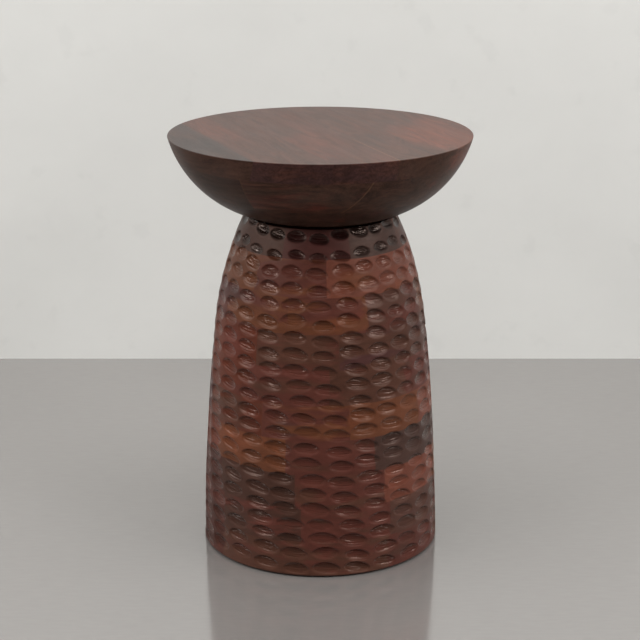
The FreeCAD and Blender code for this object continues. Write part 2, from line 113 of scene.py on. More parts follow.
class Wire:
    """One shader socket, which Python's operators join to numbers and other sockets with Math nodes."""

    def __init__(self, tree: "ShaderTree", socket: bpy.types.NodeSocket) -> None:
        """Keeps the socket and the tree that holds it."""
        self.tree = tree
        self.socket = socket

    def __add__(self, other: "Wire | float") -> "Wire":
        """Adds."""
        return self.tree.maths("ADD", self, other)

    __radd__ = __add__

    def __mul__(self, other: "Wire | float") -> "Wire":
        """Multiplies."""
        return self.tree.maths("MULTIPLY", self, other)

    __rmul__ = __mul__

    def __sub__(self, other: "Wire | float") -> "Wire":
        """Takes the other away from this."""
        return self.tree.maths("SUBTRACT", self, other)

    def __rsub__(self, other: "Wire | float") -> "Wire":
        """Takes this away from the other."""
        return self.tree.maths("SUBTRACT", other, self)

    def swing(self, depth: float) -> "Wire":
        """Goes from half that depth below 0 to half of it above 0, as this goes from 0 to 1."""
        return (self - 0.5) * depth


class ShaderTree:
    """The nodes of one material."""

    def __init__(self, name: str) -> None:
        """Makes an empty material of that name."""
        self.material = bpy.data.materials.new(name)
        self.material.use_nodes = True
        self.tree = self.material.node_tree
        self.tree.nodes.clear()

    def node(self, kind: str, settings: dict[str, Any] | None = None,
             inputs: dict[Any, Any] | None = None) -> bpy.types.Node:
        """Adds one node.

        Args:
            kind: The node's type.
            settings: Its properties, set before its sockets are.
            inputs: Values or wires of its input sockets, by name or number.

        Returns:
            The new node.
        """
        made = self.tree.nodes.new(kind)
        for name, value in (settings or {}).items():
            setattr(made, name, value)
        for key, value in (inputs or {}).items():
            if isinstance(value, Wire):
                self.tree.links.new(value.socket, made.inputs[key])
            else:
                made.inputs[key].default_value = value
        return made

    def wire(self, kind: str, settings: dict[str, Any] | None = None,
             inputs: dict[Any, Any] | None = None, output: Any = 0) -> Wire:
        """Adds one node and returns the wire that leaves one of its outputs."""
        return Wire(self, self.node(kind, settings, inputs).outputs[output])

    def maths(self, operation: str, first: Wire | float, second: Wire | float = 0.0) -> Wire:
        """Adds a Math node on two values."""
        return self.wire("ShaderNodeMath", {"operation": operation}, {0: first, 1: second})

    def ramp(self, value: Wire, low: float, high: float) -> Wire:
        """Eases from 0 to 1 as the value goes from low to high."""
        return self.wire("ShaderNodeMapRange", {"interpolation_type": "SMOOTHSTEP"},
                         {0: value, 1: low, 2: high, 3: 0.0, 4: 1.0})

    def blend(self, share: Wire | float, first: Any, second: Any) -> Wire:
        """Mixes two colours, taking that share of the second."""
        return self.wire("ShaderNodeMix", {"data_type": "RGBA"}, {0: share, 6: first, 7: second}, 2)

    def shade(self, colour: Any, amount: Wire) -> Wire:
        """Makes a colour lighter or darker by a factor."""
        start = colour if isinstance(colour, Wire) else colour[:3]
        return self.wire("ShaderNodeVectorMath", {"operation": "SCALE"}, {0: start, "Scale": amount})

    def spread(self, place: Wire, scale: Spread) -> Wire:
        """Scales a place along its own three directions."""
        return self.wire("ShaderNodeVectorMath", {"operation": "MULTIPLY"}, {0: place, 1: scale})

    def noise(self, place: Wire, scale: float = 1.0, detail: float = 2.0, roughness: float = 0.5) -> Wire:
        """Soft random values about 0.5."""
        return self.wire("ShaderNodeTexNoise", {},
                         {"Vector": place, "Scale": scale, "Detail": detail, "Roughness": roughness})

    def attribute(self, name: str, output: str) -> Wire:
        """Reads one of the mesh's own attributes."""
        return self.wire("ShaderNodeAttribute", {"attribute_name": name}, {}, output)

    def objects_place(self) -> Wire:
        """The place in the object's own frame, in metres."""
        return self.wire("ShaderNodeTexCoord", {}, {}, "Object")

    def bump(self, height: Wire, deep: float, under: Wire | None = None) -> Wire:
        """Turns heights into a normal.

        Args:
            height: The relief, from 0 to 1.
            deep: How deep that relief is, in metres.
            under: The normal of a relief that this one lies on.

        Returns:
            The normal.
        """
        inputs = {"Height": height, "Distance": deep, "Strength": 1.0}
        if under is not None:
            inputs["Normal"] = under
        return self.wire("ShaderNodeBump", {}, inputs)

    def surface(self, inputs: dict[str, Any]) -> bpy.types.Material:
        """Ends the tree in a Principled shader with those inputs, and returns the material."""
        return self.finish(self.wire("ShaderNodeBsdfPrincipled", {}, inputs))

    def finish(self, shader: Wire) -> bpy.types.Material:
        """Ends the tree in that shader, and returns the material."""
        self.node("ShaderNodeOutputMaterial", {}, {"Surface": shader})
        return self.material


@dataclass(frozen=True)
class StainedWood:
    """Stained wood under satin lacquer, tinted and figured by each board's own attributes.

    The mesh says where each point lies in its board ("lie"), the board's stain and its streaks' stain, which
    on the deck are painted paler on the top face as painted light and darker on the sides as painted shade,
    the share of streaks, where glue lines show, what carries the polish, how deep the carving is ("hollow"),
    how much shade is painted under each hollow's upper edge and in the neck, and the place within a hollow
    ("tool"). Each noise is spread along the board, across it and up through it, in cycles per metre.
    """

    name: str
    roughness: float
    specular: float
    polish: float = 0.0
    polish_roughness: float = 0.42
    figure: Spread = (7.0, 34.0, 46.0)
    streak_edge: float = 0.09
    clouds: Spread = (11.0, 16.0, 16.0)
    cloud_depth: float = 0.5
    cloud_gloss: float = 0.12
    rings: Spread = (3.0, 90.0, 120.0)
    ring_bends: Spread = (6.0, 18.0, 18.0)
    ring_bend: float = 9.0
    ring_depth: float = 0.64
    grain: Spread = (28.0, 520.0, 700.0)
    grain_depth: float = 0.55
    grain_gloss: float = 0.16
    grain_height: float = 0.6
    pores: Spread = (150.0, 2300.0, 2300.0)
    pore_edge: tuple[float, float] = (0.60, 0.70)
    pore_depth: float = 0.16
    pore_gloss: float = 0.08
    pore_height: float = 0.8
    relief: float = 0.00006
    # How much the shade painted under the hollows' upper edges and in the neck darkens the wood.
    painted_hollow_shade: float = 0.0
    hollow_gloss: float = 0.0
    tool_marks: float = 0.0
    tool_strokes: Spread = (22.0, 300.0, 1.0)
    glue: Colour = linear(150, 108, 80)
    highlight: Colour = linear(255, 222, 206)

    def make(self) -> bpy.types.Material:
        """Builds the material.

        Clouds, growth rings, grain and pores lighten or darken the stains, the shade painted in the hollows
        darkens them, and the glue lines come last. Clouds, grain and pores change the gloss a little, and
        hollows are glossier.

        Returns:
            The material.
        """
        tree = ShaderTree(self.name)
        lie = tree.attribute("lie", "Vector")
        hollow = tree.attribute("hollow", "Fac")
        cloud = tree.noise(tree.spread(lie, self.clouds), detail=3.0)
        grain = tree.noise(tree.spread(lie, self.grain), detail=3.0, roughness=0.6)
        pores = tree.ramp(tree.noise(tree.spread(lie, self.pores), detail=1.0), *self.pore_edge)
        # The wood's tone from clouds, rings, grain and pores, less the painted shade in the hollows.
        light = (1.0 + cloud.swing(self.cloud_depth) + self.growth_rings(tree, lie).swing(self.ring_depth)
                 + grain.swing(self.grain_depth) - pores * self.pore_depth
                 - tree.attribute("painted_shade", "Fac") * self.painted_hollow_shade)
        rough = (self.roughness + grain.swing(self.grain_gloss) + cloud.swing(self.cloud_gloss)
                 + pores * self.pore_gloss - hollow * self.hollow_gloss)
        relief = tree.bump(grain * self.grain_height - pores * self.pore_height, self.relief)
        if self.tool_marks:
            tool = tree.attribute("tool", "Vector")
            strokes = tree.noise(tree.spread(tool, self.tool_strokes), detail=1.0)
            relief = tree.bump(strokes * hollow, self.tool_marks, under=relief)
        wood = tree.shade(self.stained(tree, lie), light)
        return tree.surface({
            "Base Color": tree.blend(tree.attribute("glue", "Fac"), wood, self.glue),
            "Roughness": rough,
            "Normal": relief,
            "Specular IOR Level": self.specular,
            "Specular Tint": self.highlight,
            "Coat Weight": tree.attribute("polished_and_lit_top", "Fac") * self.polish,
            "Coat Roughness": self.polish_roughness,
        })

    def stained(self, tree: ShaderTree, lie: Wire) -> Wire:
        """Mixes a board's two stains: the streaks' one shows where a noise and the share pass 1 together.

        Args:
            tree: The material's nodes.
            lie: The place in the board.

        Returns:
            The colour.
        """
        wander = tree.noise(tree.spread(lie, self.figure), detail=4.0, roughness=0.6)
        both = wander + tree.attribute("share", "Fac")
        streaked = tree.ramp(both, 1.0 - self.streak_edge, 1.0 + self.streak_edge)
        return tree.blend(streaked, tree.attribute("stain", "Color"), tree.attribute("streak", "Color"))

    def growth_rings(self, tree: ShaderTree, lie: Wire) -> Wire:
        """Makes growth rings: a stretched noise, at a place that the square of a softer noise bends.

        Args:
            tree: The material's nodes.
            lie: The place in the board.

        Returns:
            Values about 0.5.
        """
        bend = tree.noise(tree.spread(lie, self.ring_bends), detail=2.0)
        place = tree.wire("ShaderNodeVectorMath", {"operation": "ADD"},
                          {0: tree.spread(lie, self.rings), 1: tree.shade(bend, bend * self.ring_bend)})
        return tree.noise(place, detail=2.0, roughness=0.4)


@dataclass(frozen=True)
class RawWood:
    """Sawn wood with no finish, for the core that only shows from below."""

    name: str
    figure: Spread = (60.0, 14.0, 60.0)
    grain: Spread = (900.0, 60.0, 900.0)
    least_light: float = 0.75
    figure_light: float = 0.35
    grain_light: float = 0.15
    roughness: float = 0.7
    grain_roughness: float = 0.2
    relief: float = 0.0002

    def make(self) -> bpy.types.Material:
        """Builds the material: a stretched figure and fine grain lighten the wood's colour."""
        tree = ShaderTree(self.name)
        place = tree.objects_place()
        figure = tree.noise(tree.spread(place, self.figure), detail=4.0, roughness=0.6)
        grain = tree.noise(tree.spread(place, self.grain), detail=2.0)
        light = self.least_light + figure * self.figure_light + grain * self.grain_light
        return tree.surface({"Base Color": tree.shade(Stain.RAW_WOOD.colour, light),
                             "Roughness": self.roughness + grain * self.grain_roughness,
                             "Normal": tree.bump(grain, self.relief)})


@dataclass(frozen=True)
class PlatedSteel:
    """Zinc-plated steel with fine scuffs."""

    name: str
    bright: Colour = linear(186, 188, 190)
    scuffed: Colour = linear(150, 150, 148)
    spots: float = 900.0
    roughness: float = 0.25
    spot_roughness: float = 0.2

    def make(self) -> bpy.types.Material:
        """Builds the material: bright metal whose gloss varies in spots."""
        tree = ShaderTree(self.name)
        spots = tree.noise(tree.objects_place(), self.spots, detail=3.0)
        return tree.surface({"Base Color": tree.blend(spots, self.bright, self.scuffed), "Metallic": 1.0,
                             "Roughness": self.roughness + spots * self.spot_roughness})


@dataclass(frozen=True)
class Felt:
    """Pressed dark felt with matted fibres."""

    name: str
    deep: Colour = linear(34, 26, 23)
    raised: Colour = linear(66, 54, 48)
    fibres: Spread = (1500.0, 1500.0, 3000.0)
    fibre_edge: tuple[float, float] = (0.3, 0.7)
    roughness: float = 0.95
    sheen: float = 0.3
    relief: float = 0.0004

    def make(self) -> bpy.types.Material:
        """Builds the material: fibres from a fine noise, lighter where they stand up."""
        tree = ShaderTree(self.name)
        fibres = tree.noise(tree.spread(tree.objects_place(), self.fibres), detail=4.0, roughness=0.7)
        colour = tree.blend(tree.ramp(fibres, *self.fibre_edge), self.deep, self.raised)
        return tree.surface({"Base Color": colour, "Roughness": self.roughness, "Sheen Weight": self.sheen,
                             "Normal": tree.bump(fibres, self.relief)})


@dataclass(frozen=True)
class Screed:
    """The studio's floor: smooth grey screed with a soft sheen."""

    name: str
    colour: Colour = linear(136, 132, 129)
    clouds: float = 2.2
    trowelling: Spread = (40.0, 190.0, 1.0)
    least_light: float = 0.91
    cloud_light: float = 0.08
    trowel_light: float = 0.12
    roughness: float = 0.06
    cloud_roughness: float = 0.06
    trowel_roughness: float = 0.04
    refraction: float = 3.1
    relief: float = 0.00005

    def make(self) -> bpy.types.Material:
        """Builds the material: faint clouds and trowel marks in the colour and in the gloss."""
        tree = ShaderTree(self.name)
        clouds = tree.noise(tree.objects_place(), self.clouds, detail=5.0, roughness=0.6)
        marks = tree.noise(tree.spread(tree.objects_place(), self.trowelling), detail=3.0)
        light = self.least_light + clouds * self.cloud_light + marks * self.trowel_light
        rough = self.roughness + clouds * self.cloud_roughness + marks * self.trowel_roughness
        return tree.surface({"Base Color": tree.shade(self.colour, light), "Roughness": rough,
                             "IOR": self.refraction, "Normal": tree.bump(marks, self.relief)})


@dataclass(frozen=True)
class Plaster:
    """The studio's wall: off-white plaster, seen only from its front."""

    name: str
    colour: Colour = linear(225, 224, 220)
    clouds: Spread = (3.0, 3.0, 4.0)
    flecks: float = 17.0
    fleck_edge: tuple[float, float] = (0.60, 0.72)
    least_light: float = 0.93
    cloud_light: float = 0.14
    fleck_shade: float = 0.03
    roughness: float = 0.9

    def make(self) -> bpy.types.Material:
        """Builds the material: faint trowel clouds and darker flecks, and nothing at all from behind."""
        tree = ShaderTree(self.name)
        clouds = tree.noise(tree.spread(tree.objects_place(), self.clouds), detail=6.0, roughness=0.62)
        flecks = tree.ramp(tree.noise(tree.objects_place(), self.flecks, detail=3.0), *self.fleck_edge)
        light = self.least_light + clouds * self.cloud_light - flecks * self.fleck_shade
        wall = tree.wire("ShaderNodeBsdfPrincipled", {},
                         {"Base Color": tree.shade(self.colour, light), "Roughness": self.roughness})
        behind = tree.wire("ShaderNodeNewGeometry", {}, {}, "Backfacing")
        clear = tree.wire("ShaderNodeBsdfTransparent")
        return tree.finish(tree.wire("ShaderNodeMixShader", {}, {0: behind, 1: wall, 2: clear}))


class PieceMesh:
    """Gathers grids of points into one closed mesh with attributes at its points."""

    STEPS_PER_METRE = 1e7
    KINDS = {"stain": ("FLOAT_COLOR", "color"), "streak": ("FLOAT_COLOR", "color"),
             "lie": ("FLOAT_VECTOR", "vector"), "tool": ("FLOAT_VECTOR", "vector")}

    def __init__(self, name: str) -> None:
        """Starts an empty mesh of that name."""
        self.name = name
        self.points: list[np.ndarray] = []
        self.quads: list[np.ndarray] = []
        self.values: dict[str, list[np.ndarray]] = {}
        self.count = 0

    def add(self, points: np.ndarray, values: dict[str, np.ndarray], wrap: bool = False) -> None:
        """Adds a grid whose faces look along rows crossed with columns.

        Args:
            points: Places in millimetres, rows by columns by 3.
            values: Attribute values, rows by columns, with a last axis for colours and vectors.
            wrap: Whether the last row and column meet the first ones.
        """
        rows, columns = points.shape[:2]
        index = np.arange(rows * columns).reshape(rows, columns) + self.count
        if wrap:
            index = np.vstack([index, index[:1]])
            index = np.hstack([index, index[:, :1]])
        corners = (index[:-1, :-1], index[1:, :-1], index[1:, 1:], index[:-1, 1:])
        self.quads.append(np.stack(corners, axis=-1).reshape(-1, 4))
        self.points.append(points.reshape(-1, 3) * MM)
        for key, value in values.items():
            self.values.setdefault(key, []).append(value.reshape(rows * columns, -1))
        self.count += rows * columns

    def object(self, material: bpy.types.Material, sharp: float = 35.0) -> bpy.types.Object:
        """Welds the grids and makes the object.

        Points that share a place to a ten-thousandth of a millimetre become one, and a face that loses a
        corner by this becomes a triangle or goes.

        Args:
            material: The finish.
            sharp: Angle in degrees past which an edge isn't shaded smoothly.

        Returns:
            The object, linked to the scene.
        """
        points = np.vstack(self.points)
        keys = np.round(points * self.STEPS_PER_METRE).astype(np.int64)
        first, group = np.unique(keys, axis=0, return_index=True, return_inverse=True)[1:]
        quads = group.reshape(-1)[np.vstack(self.quads)]
        kept = quads != np.roll(quads, 1, axis=1)
        quads, kept = quads[kept.sum(1) > 2], kept[kept.sum(1) > 2]
        sizes = kept.sum(1)
        mesh = bpy.data.meshes.new(self.name)
        mesh.vertices.add(len(first))
        mesh.vertices.foreach_set("co", points[first].ravel())
        mesh.loops.add(int(sizes.sum()))
        mesh.loops.foreach_set("vertex_index", quads[kept])
        mesh.polygons.add(len(quads))
        mesh.polygons.foreach_set("loop_start", np.concatenate([[0], np.cumsum(sizes)[:-1]]))
        for key, parts in self.values.items():
            kind, entry = self.KINDS.get(key, ("FLOAT", "value"))
            values = np.vstack(parts)[first].ravel()
            mesh.attributes.new(key, kind, "POINT").data.foreach_set(entry, values)
        mesh.update(calc_edges=True)
        mesh.validate()
        mesh.shade_smooth()
        mesh.set_sharp_from_angle(angle=math.radians(sharp))
        mesh.materials.append(material)
        made = bpy.data.objects.new(self.name, mesh)
        bpy.context.scene.collection.objects.link(made)
        return made


@dataclass(frozen=True)
class Arc:
    """A round arc of the turned outline, bulging away from the axis."""

    centre_radius: float
    centre_height: float
    radius: float

    def at(self, height: np.ndarray) -> np.ndarray:
        """The centre's distance, plus the root of the arc's radius squared less the rise squared."""
        rise = height - self.centre_height
        return self.centre_radius + np.sqrt(np.maximum(self.radius**2 - rise**2, 0))


@dataclass(frozen=True)
class TurnedOutline:
    """The table's outline as the CAD part turns it."""

    flank: Arc = Arc(-3311.54, -54.24, 3472.0)
    shoulder: Arc = Arc(-311.562, 260.998, 455.5)
    bowl: Arc = Arc(58.808, 598.701, 146.4)
    shoulder_height: float = 308.6
    top_height: float = 560.0
    rim_round: float = 1.0
    foot_height: float = 2.0
    foot_chamfer: float = 1.5

    def pedestal(self, height: np.ndarray) -> np.ndarray:
        """Radius of the pedestal: the flank's arc, then the shoulder's, less the chamfer at the foot."""
        radius = np.where(height < self.shoulder_height, self.flank.at(height), self.shoulder.at(height))
        return radius - np.maximum(self.foot_height + self.foot_chamfer - height, 0)

    def dish(self, height: float) -> float:
        """Radius of the dished top: the bowl's arc, less a quarter round at the rim."""
        into_rim = min(max(height - (self.top_height - self.rim_round), 0.0) / self.rim_round, 1.0)
        return float(self.bowl.at(np.array(height))) - self.rim_round * (1 - math.sqrt(1 - into_rim**2))


@dataclass(frozen=True)
class Hollows:
    """The hollows that a wide gouge left all round the pedestal, in columns that lean as they go down.

    Heights are in millimetres and turns in degrees. Each hollow is one stroke of the gouge. The "curve"
    fields are the powers by which its upper edge, lower edge and depth run out towards its two ends.
    """

    columns: int = 24
    rows: tuple[float, ...] = (10, 30, 50, 70, 91, 111, 131, 153, 173, 193, 213, 234, 255, 276, 297,
                               317, 338, 359, 379, 400, 419, 443)
    lean_heights: tuple[float, ...] = (0, 16, 30, 55, 75, 95, 120, 140, 160, 200, 240, 280, 340, 400, 450)
    lean: tuple[float, ...] = (18.5, 18, 18, 16, 15, 13, 12, 10, 9, 8, 5, 3, 1, -1.5, -1)
    lifts: tuple[float, ...] = (0, 5, 7, 9, 10, 6, 2, -3, 4, -6, 1, 7,
                                -2, 5, 9, -4, 3, 8, -1, 10, 12, 6, 2, 4)
    most_shift: float = 1.0
    most_lift: float = 1.5
    most_tilt: float = 0.07
    drift: float = -0.07
    sizes: tuple[float, float] = (0.92, 1.07)
    scoops: tuple[float, float] = (0.82, 1.12)
    half_turn: float = 6.75
    upper: float = 9.2
    upper_curve: float = 0.62
    lower: float = 10.4
    lower_curve: float = 0.45
    deepest: float = 4.5
    deepest_at: float = 0.72
    depth_curve: float = 0.7
    worn_edge: float = 0.30
    thinnest: float = 0.01
    ridge: float = 0.22
    ridge_fade: float = 1.1
    ridge_ease: float = 2.5
    ridge_bend: float = 0.55
    ridge_pitches: tuple[float, float] = (2.7, 4.3)
    ridge_slants: tuple[float, float] = (0.06, -0.09)
    ridge_phase: float = 9.0
    ridge_share: float = 0.7
    stroke_apart: float = 40.0
    # Painted shade: where under a hollow's upper edge it starts and how it eases in, and how much more is
    # painted in the neck and in the last row, under the bowl.
    painted_shade_from: float = 0.5
    painted_shade_reach: float = 0.4
    painted_shade_ease: float = 3.0
    neck_from: float = 415.0
    neck_reach: float = 8.0
    neck_narrower: float = 0.5
    neck_flatter: float = 0.24
    neck_painted_shade: float = 1.5
    last_from: float = 430.0
    last_reach: float = 6.0
    last_wider: float = 0.8
    last_taller: float = 0.10
    last_painted_shade: float = 0.6
    foot_from: float = 3.5
    foot_reach: float = 3.0
    full_hollow: float = 1.6
    sanding: float = 0.12
    waves_round: tuple[float, float] = (7.0, 11.0)
    waves_up: tuple[float, float] = (0.031, -0.047)

    def carve(self, bearing: np.ndarray, height: np.ndarray, radius: np.ndarray) -> dict[str, np.ndarray]:
        """Depth of the carving at each point.

        Each point is tried against the nearest hollow and the eight round it, and the deepest counts. All
        hollows run out above the foot's edge, and the sanding left two slow waves on the whole face.

        Args:
            bearing: Degrees round the table.
            height: Millimetres above the floor.
            radius: Millimetres from the axis of the uncarved surface.

        Returns:
            "depth" in millimetres, "hollow" from 0 to 1 as the depth grows, the painted shade, which is 1
            under a hollow's upper edge and more in the neck, and "tool", the place within the hollow in
            metres.
        """
        uneven = self.unevenness()
        leaned = bearing - np.interp(height, self.lean_heights, self.lean)
        column = np.rint(leaned / (360 / self.columns)).astype(int)
        row = np.rint(np.interp(height, self.rows, np.arange(len(self.rows)))).astype(int)
        best = np.zeros(bearing.shape)
        painted_shade = np.zeros(bearing.shape)
        tool = np.zeros(bearing.shape + (3,))
        for turn in (-1, 0, 1):
            for step in (-1, 0, 1):
                depth, shaded, place = self.stroke(uneven, column + turn, row + step,
                                                   bearing, height, radius)
                better = depth > best
                best = np.where(better, depth, best)
                painted_shade = np.where(better, shaded, painted_shade)
                tool = np.where(better[..., None], place, tool)
        foot = np.clip((height - self.foot_from) / self.foot_reach, 0, 1)
        best = best * foot * foot * (3 - 2 * foot)
        depth = best + self.sanding * (2 + self.waves(bearing, height)) * foot
        hollow = np.clip(self.full_hollow * best / self.deepest, 0, 1)
        return {"depth": depth, "hollow": hollow, "painted_shade": painted_shade, "tool": tool}

    def unevenness(self) -> dict[str, np.ndarray]:
        """Draws how each hollow differs, by column and row.

        Returns:
            "shift" in degrees, "lift" in millimetres, "tilt" as a slope, and factors of "size" and "scoop".
        """
        random = np.random.default_rng(SEED)
        shape = (self.columns, len(self.rows) + 1)
        return {
            "shift": random.uniform(-self.most_shift, self.most_shift, shape),
            "lift": random.uniform(-self.most_lift, self.most_lift, shape) + np.array(self.lifts)[:, None],
            "tilt": random.uniform(-self.most_tilt, self.most_tilt, shape) + self.drift,
            "size": random.uniform(*self.sizes, shape),
            "scoop": random.uniform(*self.scoops, shape),
        }

    def stroke(self, uneven: dict[str, np.ndarray], column: np.ndarray, row: np.ndarray, bearing: np.ndarray,
               height: np.ndarray, radius: np.ndarray) -> tuple[np.ndarray, np.ndarray, np.ndarray]:
        """Works out one hollow for each point.

        With e one less the square of the distance across over the half width, the upper edge, the lower
        edge and the depth each go with e to the power of their curve. Going up, the depth follows one
        parabola to the deepest place and a shorter one above it, and is eased in over the worn lower edge.
        The tool's ridges bend with that edge. In the neck the hollows are narrower and flatter and are
        painted with more shade all over, as under the bowl, and those of the last row are wider again and
        painted with more shade still.

        Args:
            uneven: How each hollow differs.
            column: The hollow's column.
            row: Its row.
            bearing: Degrees round the table.
            height: Millimetres above the floor.
            radius: Millimetres from the axis of the uncarved surface.

        Returns:
            The depth in millimetres, how much shade is painted there, and the place within the hollow in
            metres.
        """
        which = (column % self.columns, np.clip(row, 0, len(self.rows) - 1))
        shift, size = uneven["shift"][which], uneven["size"][which]
        middle = np.array(self.rows)[which[1]] + uneven["lift"][which]
        around = 360 / self.columns * column + np.interp(middle, self.lean_heights, self.lean)
        across = np.radians(bearing - around - shift) * radius
        up = height - middle - uneven["tilt"][which] * across
        neck = np.clip((middle - self.neck_from) / self.neck_reach, 0, 1)
        last = np.clip((middle - self.last_from) / self.last_reach, 0, 1)
        half_turn = self.half_turn - self.neck_narrower * neck + self.last_wider * last
        wide = np.radians(half_turn) * radius * size
        tall = size * (1 - self.neck_flatter * neck + self.last_taller * last)
        end = np.clip(1 - (across / wide)**2, 0, 1)
        upper = self.upper * tall * end**self.upper_curve
        lower = self.lower * tall * end**self.lower_curve
        rise = np.clip((up + lower) / np.maximum(upper + lower, self.thinnest), 0, 1)
        reach = np.where(rise < self.deepest_at, self.deepest_at, 1 - self.deepest_at)
        worn = np.clip(rise / self.worn_edge, 0, 1)
        profile = (1 - ((rise - self.deepest_at) / reach)**2) * worn * (2 - worn)
        line = up + self.ridge_bend * lower
        ridges = self.ridge * (self.ridge_fade - rise) * self.ridges(line, across, self.ridge_phase * shift)
        depth = self.deepest * uneven["scoop"][which] * end**self.depth_curve * profile
        depth = depth + ridges * np.clip(profile * end * self.ridge_ease, 0, 1)
        # Painted shade: darker under the hollow's upper edge, where it overhangs, and all over in the neck
        # and the last row, under the bowl.
        painted_shade_under_edge = np.clip((rise - self.painted_shade_from) / self.painted_shade_reach, 0, 1)
        painted_shade = np.maximum(painted_shade_under_edge, self.neck_painted_shade * neck + self.last_painted_shade * last)
        painted_shade = painted_shade * np.clip(self.painted_shade_ease * profile, 0, 1)
        return depth, painted_shade, np.stack([across * MM, line * MM, shift * self.stroke_apart], axis=-1)

    def ridges(self, line: np.ndarray, across: np.ndarray, phase: np.ndarray) -> np.ndarray:
        """The tool's ridges: two sines of the height along the stroke, which slant to opposite sides.

        Args:
            line: Height in millimetres above a line that bends with the lower edge.
            across: Millimetres from the hollow's middle.
            phase: Where the finer sine starts, in radians.

        Returns:
            The ridges' heights, in their own unit.
        """
        fine, coarse = (line * (2 * math.pi / pitch) for pitch in self.ridge_pitches)
        fine_slant, coarse_slant = self.ridge_slants
        finer = np.sin(fine + phase + across * fine_slant)
        return finer + self.ridge_share * np.sin(coarse + across * coarse_slant)

    def waves(self, bearing: np.ndarray, height: np.ndarray) -> np.ndarray:
        """Two slow sines that wind round the face in opposite ways."""
        return sum(np.sin(np.radians(bearing * turns) + height * slant)
                   for turns, slant in zip(self.waves_round, self.waves_up))


@dataclass(frozen=True)
class Fleck:
    """A soft patch of another stain on a course: an ellipse by bearing and height."""

    bearing: float
    height: float
    half_turn: float
    half_height: float
    stain: Stain
    strength: float = 0.9


@dataclass(frozen=True)
class Course:
    """One glued course of eight blocks: where its first mitre lies, and each block's two stains."""

    bearing: float
    stains: tuple[Stain, ...]
    streaks: tuple[Stain, ...]


def named(words: str) -> tuple[Stain, ...]:
    """The stains of those names, which are in plain words between commas."""
    return tuple(Stain[word.strip().replace(" ", "_").upper()] for word in words.split(","))


COURSES = (
    Course(-10, named("brown, red brown, brown, plum, red brown, orange brown, mahogany, brown"),
           named("red brown, dull brown, orange brown, brown, dark red, brown, red brown, red brown")),
    Course(-9, named("red brown, dull brown, red brown, brown, dark brown, brick, mahogany, dark brown"),
           named("brown, plum, dark red, orange brown, brown, red brown, red brown, red brown")),
    Course(-12, named("red brown, rose brown, orange brown, grey brown, red brown, brown, "
                      "mahogany, dark brown"),
           named("brown, rose brown, brown, plum, brown, dark red, red brown, brown")),
    Course(-17, named("red brown, grey brown, grey brown, brown, brick, red brown, rust, orange brown"),
           named("brown, dark brown, plum, orange brown, orange brown, brown, red brown, orange")),
    Course(15, named("orange brown, rose brown, brown, dark brown, red brown, purple brown, "
                     "rust, red brown"),
           named("orange brown, orange brown, dark red, brown, orange brown, brown, brown, orange brown")),
    Course(5, named("brown, red brown, red brown, orange brown, brown, grey brown, rust, red brown"),
           named("red brown, dull brown, brown, brick, dark brown, brown, red brown, brown")),
    Course(10, named("brown, dull brown, brown, red brown, slate, brown, rust, brown"),
           named("purple brown, plum, red brown, brick, grey brown, orange brown, dark red, red brown")),
    Course(-18, named("orange brown, red brown, orange brown, brown, purple brown, brick, "
                      "red brown, red brown"),
           named("red brown, dull brown, brown, red brown, brown, orange brown, dark red, orange brown")),
    Course(4, named("rose brown, rose brown, brick, brown, dark brown, red brown, orange brown, red brown"),
           named("orange, orange, brown, orange brown, brown, brick, brown, orange brown")),
    Course(20, named("grey brown, dull brown, dark brown, grey brown, dark brown, grey brown, "
                     "dark brown, dark red"),
           named("dark brown, plum, grey brown, brown, grey brown, dark brown, grey brown, dark brown")),
)
FLECKS = (
    Fleck(-17, 201, 8, 10, Stain.PLUM),
    Fleck(17, 212, 4, 14, Stain.ORANGE),
    Fleck(9, 352, 5, 22, Stain.ORANGE),
    Fleck(20, 352, 6, 10, Stain.BRICK),
    Fleck(-55, 300, 12, 22, Stain.BRICK),
    Fleck(-60, 360, 14, 12, Stain.PLUM),
    Fleck(-50, 172, 14, 12, Stain.ORANGE),
    Fleck(22, 392, 12, 12, Stain.ORANGE),
)


def soft_spot(across: np.ndarray, along: np.ndarray, half_across: float, half_along: float,
              core: float) -> np.ndarray:
    """A soft elliptical spot: its core less the squared distance, as measured in its half sizes.

    Args:
        across: How far each point is from the spot's middle, one way.
        along: How far it is the other way.
        half_across: The spot's half size one way.
        half_along: Its half size the other way.
        core: The squared distance at which it ends.

    Returns:
        How strong the spot is at each point, from 0 to 1.
    """
    far = (across / half_across)**2 + (along / half_along)**2
    return np.clip(core - far, 0, 1)


